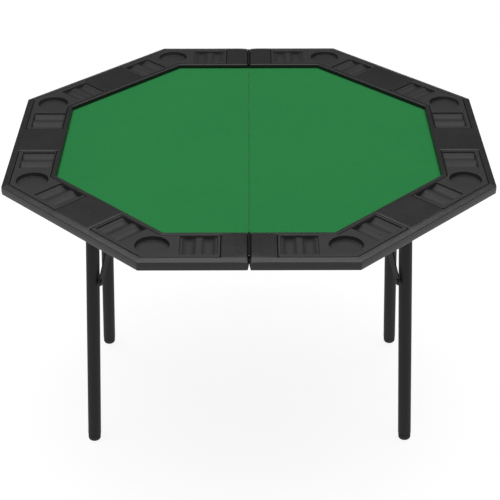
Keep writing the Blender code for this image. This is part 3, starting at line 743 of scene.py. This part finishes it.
def rounded_step(outside, depth):
    """The drop at a distance outside a recess's edge, negative inside: rounded lip, wall, rounded foot."""
    if outside >= 0:
        short = LIP - min(LIP, outside)
        return LIP - math.sqrt(LIP**2 - short**2)
    wall = min(1.0, -outside / MOULD_WALL)
    foot = min(1.0, max(0.0, (-outside - MOULD_WALL) / MOULD_FOOT))
    return LIP + (depth - LIP) * (0.82 * wall + 0.18 * (1 - (1 - foot) ** 2))


# Where a recess has its rings, as distances outside its edge
STEPS = [LIP + GUARD] + [LIP * share for share in (1, 0.62, 0.34, 0.12, 0)]
STEPS += [-MOULD_WALL, -0.0009, -0.0014, -0.0020, -MOULD_WALL - MOULD_FOOT]
# The rings of a recess's rounded lip, painted paler as a highlight and made smoother.
WORN_AND_HIGHLIT_STEPS = range(1, 6)


def cup_surface(points, faces, worn_and_highlit):
    """The cup's rings, from the flat one outside its lip to its floor's middle. Returns the outermost."""
    middle = on_corner(CUP_APOTHEM)
    count = CUP_SEGMENTS
    radii = [(CUP_RADIUS + step, TRAY_Z - rounded_step(step, CUP_DEPTH)) for step in STEPS]
    floor = TRAY_Z - CUP_DEPTH
    radii += [(CUP_RADIUS * share, floor) for share in (0.86, 0.70, 0.55, 0.40, 0.22)]
    start = len(points)
    for index, (radius, z) in enumerate(radii):
        ring = arc(middle, radius, 0, 360 - 360 / count, count - 1)
        points += [(x, y, z) for x, y in ring]
        worn_and_highlit += [0.9 if index in WORN_AND_HIGHLIT_STEPS else 0.0] * count
    add_ring_faces(faces, start, count, len(radii))
    points.append((*middle, floor))
    worn_and_highlit.append(0.0)
    last = start + (len(radii) - 1) * count
    faces += [(last + n, last + (n + 1) % count, len(points) - 1) for n in range(count)]
    return [start + n for n in range(count)]


def groove_depth(s):
    """The rack's floor below the tray's top: two round grooves with a land between them."""
    deepest = RACK_DEPTH
    for centre in GROOVE_CENTRES:
        away = abs(s - centre)
        if away < GROOVE_RADIUS:
            depth = GROOVE_DEPTH - GROOVE_RADIUS + math.sqrt(GROOVE_RADIUS**2 - away**2)
            deepest = max(deepest, depth)
    return deepest


def rack_surface(points, faces, worn_and_highlit, side, end):
    """A rack of two grooves: rings round its edge and a grid for its floor. Returns the outermost ring."""
    low_a, high_a = RACK_REACH
    low_s, high_s = RACK
    deepest = -STEPS[-1]
    inner_s = spaced(low_s + deepest, high_s - deepest, RACK_CELLS[0])
    inner_a = spaced(low_a + deepest, high_a - deepest, RACK_CELLS[1])
    corners = ((high_a - deepest, low_s + deepest, 270), (high_a - deepest, high_s - deepest, 0))
    corners += ((low_a + deepest, high_s - deepest, 90), (low_a + deepest, low_s + deepest, 180))
    start = len(points)
    for index, step in enumerate(STEPS):
        ring = []
        edges = (
            [(high_a + step, s) for s in inner_s[1:-1]],
            [(a, high_s + step) for a in reversed(inner_a[1:-1])],
            [(low_a - step, s) for s in reversed(inner_s[1:-1])],
            [(a, low_s - step) for a in inner_a[1:-1]],
        )
        for (a, s, turn), edge in zip(corners, edges):
            ring += arc((a, s), step + deepest, turn, turn + 90, 6) + edge
        for a, s in ring:
            drop = rounded_step(step, groove_depth(s))
            points.append((*side_point(side, a, end * s), TRAY_Z - drop))
        worn_and_highlit += [0.9 if index in WORN_AND_HIGHLIT_STEPS else 0.0] * len(ring)
    count = len(ring)
    add_ring_faces(faces, start, count, len(STEPS))
    floor = len(points)
    for a in inner_a:
        for s in inner_s:
            points.append((*side_point(side, a, end * s), TRAY_Z - groove_depth(s)))
            worn_and_highlit.append(0.0)
    faces += grid_faces(len(inner_a), len(inner_s), start=floor)
    return [start + n for n in range(count)]


def tray_mesh():
    points, faces, worn_and_highlit = [], [], []
    insets = [TRAY_EDGE * share for share in (0, 0.06, 0.2, 0.42, 0.7, 1.0)] + [TRAY_EDGE + GUARD]
    shorts = [TRAY_EDGE - min(inset, TRAY_EDGE) for inset in insets]
    levels = [TRAY_Z - TRAY_EDGE + math.sqrt(TRAY_EDGE**2 - short**2) for short in shorts]
    loops = [(0.0012, TRAY_FOOT), (0.0004, TRAY_FOOT), (0.0, TRAY_FOOT + 0.0004), *zip(insets, levels)]
    for inset, z in loops:
        ring = tray_loop(inset)
        points += [(x, y, z) for x, y in ring]
        # The rounded rim is painted paler as a highlight and made smoother.
        worn_and_highlit += [0.8 if z > TRAY_Z - TRAY_EDGE else 0.0] * len(ring)
    count = len(ring)
    add_ring_faces(faces, 0, count, len(loops))
    faces.append(tuple(range(count)))
    rim = [(len(loops) - 1) * count + n for n in range(count)]
    holes = [cup_surface(points, faces, worn_and_highlit)]
    holes += [rack_surface(points, faces, worn_and_highlit, side, end) for side, end in ((0, 1), (1, -1))]
    numbers = rim + [n for hole in holes for n in hole]
    outlines = [[Vector(points[n]) for n in loop] for loop in (rim, *holes)]
    faces += [tuple(numbers[i] for i in face) for face in tessellate_polygon(outlines)]
    return new_mesh("tray", points, faces, worn_and_highlit, TRAY_WELD)


def make_trays(material):
    corners = {"right": (6, 7, 0, 1), "left": (5, 4, 3, 2)}
    pattern = tray_mesh()
    for name, numbers in corners.items():
        for number, corner in enumerate(numbers, 1):
            mesh = pattern.copy()
            mesh.transform(Matrix.Rotation(2 * HALF_CORNER * corner, 4, "Z"))
            label = f"tray_{name}_{number}"
            place(f"chip_{label}", mesh, material, f"{name}_half", "tray_plastic", [label], 50.0)


# Feet and hardware


def turned(profile, segments, matrix):
    """A closed solid turned about its own Z from (radius, z) points, as (points, faces)."""
    points = [matrix @ Vector((0, 0, profile[0][1]))]
    for radius, z in profile:
        ring = arc((0, 0), radius, 0, 360 - 360 / segments, segments - 1)
        points += [matrix @ Vector((x, y, z)) for x, y in ring]
    points.append(matrix @ Vector((0, 0, profile[-1][1])))
    faces = []
    add_ring_faces(faces, 1, segments, len(profile))
    last = len(points) - 1
    faces += [(0, 1 + (n + 1) % segments, 1 + n) for n in range(segments)]
    top = last - segments
    faces += [(last, top + n, top + (n + 1) % segments) for n in range(segments)]
    return points, faces


FINE_NODES = ("hinge_leaf", "hinge_pin", "leg_tube")
LEGS = [(end, name) for end in ("front", "back") for name in ("left", "right")]


def joint_of(name):
    return next(joint for joint in frame["joints"] if joint["name"] == name)


def mount_of(name):
    return next(mount for mount in frame["record"]["mounts"] if mount["name"] == name)


def make_foot(end, name, material):
    """A rubber tip, cut level where it stands on the floor."""
    pivot = Vector(joint_of(f"leg_fold_{end}_{name}")["pos_m"])
    ground = Vector(mount_of(f"foot_{end}_{name}")["pos_m"])
    up = (pivot - ground).normalized()
    turn = Vector((0, 0, 1)).rotation_difference(up).to_matrix().to_4x4()
    matrix = Matrix.Translation(ground) @ turn
    profile = [(FOOT_RADIUS - 0.0092, -0.0022), (FOOT_RADIUS - 0.0054, -0.0016)]
    profile += arc((FOOT_RADIUS - FOOT_ROUND, FOOT_ROUND - 0.0012), FOOT_ROUND, -66, 0, 8)[1:]
    profile += [(FOOT_RADIUS, FOOT_HEIGHT - 0.0032), (FOOT_RADIUS - 0.0007, FOOT_HEIGHT - 0.0026)]
    profile += [(FOOT_RADIUS - 0.0007, FOOT_HEIGHT - 0.0018), (FOOT_RADIUS, FOOT_HEIGHT - 0.0012)]
    profile += [(FOOT_RADIUS - 0.0001, FOOT_HEIGHT - 0.0004), (PLUG_RADIUS, FOOT_HEIGHT - 0.0003)]
    top = FOOT_HEIGHT + PLUG_HEIGHT
    profile += [(PLUG_RADIUS, top), (PLUG_RADIUS - 0.0013, top + 0.0016)]
    points, faces = turned(profile, 48, matrix)
    for point in points:
        point.z = max(point.z, 0.0)
    label = f"leg_tip_{end}_{name}"
    return piece(f"rubber_{label}", points, faces, material, f"leg_{end}_{name}", "rubber", [label], 45.0)


def add_screw(points, faces, x, y, z):
    """A pan head with a cross recess, hanging from z."""
    segments, start = 32, len(points)
    circle = [2 * math.pi * n / segments for n in range(segments)]
    dome = ((1.0, 0.0), (1.0, 0.25), (0.94, 0.55), (0.80, 0.80), (0.66, 0.92))
    rows = [[(SCREW_RADIUS * share, SCREW_HEIGHT * down)] * segments for share, down in dome]
    cross = [SCREW_RADIUS * (0.13 + 0.45 * abs(math.cos(2 * a)) ** 3) for a in circle]
    rows.append([(radius, SCREW_HEIGHT) for radius in cross])
    rows.append([(0.8 * radius, SCREW_HEIGHT * 0.35) for radius in cross])
    for row in rows:
        points += [(x + r * math.cos(a), y + r * math.sin(a), z - down) for (r, down), a in zip(row, circle)]
    add_ring_faces(faces, start, segments, len(rows))
    faces.append(tuple(start + n for n in range(segments)))
    last = start + (len(rows) - 1) * segments
    faces.append(tuple(last + n for n in range(segments)))


def add_staple(points, faces, middle, along):
    """A wire staple through the flap, seen from below: its crown, with both ends bent up into the board."""
    start, segments = len(points), 8
    across, up = Vector((-along.y, along.x, 0)), Vector((0, 0, 1))
    bend = STAPLE_HALF - 0.0006
    route = ((-STAPLE_HALF, STAPLE_WIRE), (-bend, 0), (bend, 0), (STAPLE_HALF, STAPLE_WIRE))
    for s, raised in route:
        centre = Vector(middle) + s * along + raised * up
        for n in range(segments):
            angle = 2 * math.pi * n / segments
            points.append(centre + STAPLE_WIRE * (math.cos(angle) * across + 0.6 * math.sin(angle) * up))
    add_ring_faces(faces, start, segments, len(route))
    faces.append(tuple(start + n for n in range(segments)))
    faces.append(tuple(start + (len(route) - 1) * segments + n for n in range(segments)))


def make_staples(hand, name, material):
    points, faces = [], []
    low = BOARD_Z - GAP - VINYL
    apothem = APOTHEM - FLAP + 0.005
    for side in (6, 7, 8, 9, 10):
        half = apothem * TAN - 0.012
        start = STAPLE_PITCH / 2 if side == 6 else -half
        end = -STAPLE_PITCH / 2 if side == 10 else half
        angle = 2 * HALF_CORNER * side
        along = Vector((-hand * math.sin(angle), math.cos(angle), 0))
        for s in spaced(start, end, round((end - start) / STAPLE_PITCH)):
            x, y = side_point(side, apothem, s)
            add_staple(points, faces, (hand * x, y, low - 0.0001), along)
    piece(f"flap_staples_{name}", points, faces, material, f"{name}_half", "zinc")


def make_leg_screws(end, name, material):
    """Four screws through a leg bracket's flanges and two through its brace's mount."""
    fold, swing = joint_of(f"leg_fold_{end}_{name}"), joint_of(f"brace_swing_{end}_{name}")
    pivot, top = Vector(fold["pos_m"]), Vector(swing["pos_m"])
    axis = Vector(fold["axis"])
    along = Vector((-axis.y, axis.x, 0))
    across = axis if axis.x * pivot.x < 0 else -axis
    origin = Vector((pivot.x, pivot.y, 0))
    reach = (top - origin).dot(along)
    spots = [(x, y) for x in BRACKET_SCREWS[0] for y in BRACKET_SCREWS[1]]
    spots += [(reach + x, MOUNT_SCREWS[1]) for x in MOUNT_SCREWS[0]]
    points, faces = [], []
    for x, y in spots:
        spot = origin + x * along + y * across
        add_screw(points, faces, spot.x, spot.y, BOARD_Z - BRACKET_SHEET)
    piece(f"leg_screws_{end}_{name}", points, faces, material, f"{name}_half", "zinc")


def make_bolt_screws(end, name, spots, material):
    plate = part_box(f"bolt_housing_{end}" if name == "left" else f"bolt_keeper_{end}")
    middle = (plate[0].y + plate[1].y) / 2
    points, faces = [], []
    for x in spots:
        for y in (-BOLT_SCREW_Y, BOLT_SCREW_Y):
            add_screw(points, faces, x, middle + y, plate[1].z - BOLT_SHEET)
    piece(f"bolt_screws_{end}_{name}", points, faces, material, f"{name}_half", "zinc")


# Camera, light and floor


def make_camera():
    camera = bpy.data.cameras.new("camera")
    camera.lens, camera.sensor_width = LENS, SENSOR
    camera.shift_x, camera.shift_y = SHIFT
    item = bpy.data.objects.new("camera", camera)
    item.location = CAMERA_PLACE
    item.rotation_euler = (math.radians(90 - CAMERA_DOWN), 0, math.radians(CAMERA_TURN))
    bpy.context.scene.collection.objects.link(item)
    bpy.context.scene.camera = item


def area_light(name, place_at, aim, size, power):
    lamp = bpy.data.lights.new(name, "AREA")
    lamp.shape = "RECTANGLE"
    lamp.size, lamp.size_y = size
    lamp.energy = power
    item = bpy.data.objects.new(name, lamp)
    item.location = place_at
    item.rotation_euler = (Vector(aim) - Vector(place_at)).to_track_quat("-Z", "Y").to_euler()
    bpy.context.scene.collection.objects.link(item)


def make_world():
    """White where the camera sees it. What lights the object is dim at the horizon and bright overhead."""
    world = bpy.data.worlds.new("studio")
    world.use_nodes = True
    nodes, links = world.node_tree.nodes, world.node_tree.links
    up = nodes.new("ShaderNodeSeparateXYZ")
    links.new(nodes.new("ShaderNodeTexCoord").outputs["Generated"], up.inputs["Vector"])
    dome = nodes.new("ShaderNodeMapRange")
    links.new(up.outputs["Z"], dome.inputs["Value"])
    dome.inputs["From Min"].default_value = 0.45
    dome.inputs["To Min"].default_value = HORIZON_LIGHT
    dome.inputs["To Max"].default_value = ZENITH_LIGHT
    seen = nodes.new("ShaderNodeMix")
    links.new(nodes.new("ShaderNodeLightPath").outputs["Is Camera Ray"], seen.inputs["Factor"])
    links.new(dome.outputs[0], seen.inputs["A"])
    seen.inputs["B"].default_value = BACKDROP
    links.new(seen.outputs["Result"], nodes["Background"].inputs["Strength"])
    nodes["Background"].inputs["Color"].default_value = (1, 1, 1, 1)
    bpy.context.scene.world = world
    bpy.context.scene.view_settings.view_transform = "Standard"


def make_studio():
    for name, light in LIGHTS.items():
        area_light(name, *light)
    make_world()
    corners = [(x * FLOOR_REACH, y * FLOOR_REACH, 0) for x, y in ((-1, -1), (1, -1), (1, 1), (-1, 1))]
    floor = bpy.data.objects.new("floor", new_mesh("floor", corners, [(0, 1, 2, 3)]))
    bpy.context.scene.collection.objects.link(floor)
    glow = {"Emission_Color": (1, 1, 1, 1), "Emission_Strength": FLOOR_GLOW}
    look = Look("floor", (0.20, 0.20, 0.20), 0.8, Specular_IOR_Level=0.1, **glow)
    floor.data.materials.append(look.material)


def soften_edges(node, width):
    bevel = node.modifiers.new("edges", "BEVEL")
    bevel.width = width
    bevel.segments = 2
    bevel.limit_method = "ANGLE"
    bevel.angle_limit = math.radians(40)
    bevel.harden_normals = True


def dress_frame(looks):
    """The carried-over CAD nodes take their finish."""
    finishes = {
        "_board": "board",
        "hinge_leaf": "black_oxide",
        "leg_bracket": "black_steel",
        "leg_tube": "black_steel",
        "brace": "black_steel",
        "bolt_housing": "black_steel",
        "bolt_keeper": "black_steel",
        "hinge_pin": "zinc",
        "leg_rivet": "zinc",
        "bolt_front": "zinc",
        "bolt_back": "zinc",
    }
    for name, node in frame["nodes"].items():
        for key, slot in finishes.items():
            if key in name:
                node.data.materials.clear()
                node.data.materials.append(looks[slot])
                soften_edges(node, 0.0002 if key in FINE_NODES else 0.0005)


def main():
    looks = {
        "rail_vinyl": vinyl_look(),
        "felt": felt_look(),
        "tray_plastic": tray_look(),
        "black_steel": steel_look(),
        "black_oxide": oxide_look(),
        "zinc": zinc_look(),
        "rubber": rubber_look(),
        "board": board_look(),
    }
    make_camera()
    make_studio()
    for hand, name in ((-1, "left"), (1, "right")):
        make_rail(hand, name, looks["rail_vinyl"])
        make_felt(hand, name, looks["felt"])
    make_trays(looks["tray_plastic"])
    for hand, name in ((-1, "left"), (1, "right")):
        make_staples(hand, name, looks["zinc"])
    for end, name in LEGS:
        make_foot(end, name, looks["rubber"])
        make_leg_screws(end, name, looks["zinc"])
        make_bolt_screws(end, name, HOUSING_SCREWS if name == "left" else KEEPER_SCREWS, looks["zinc"])
    dress_frame(looks)


main()
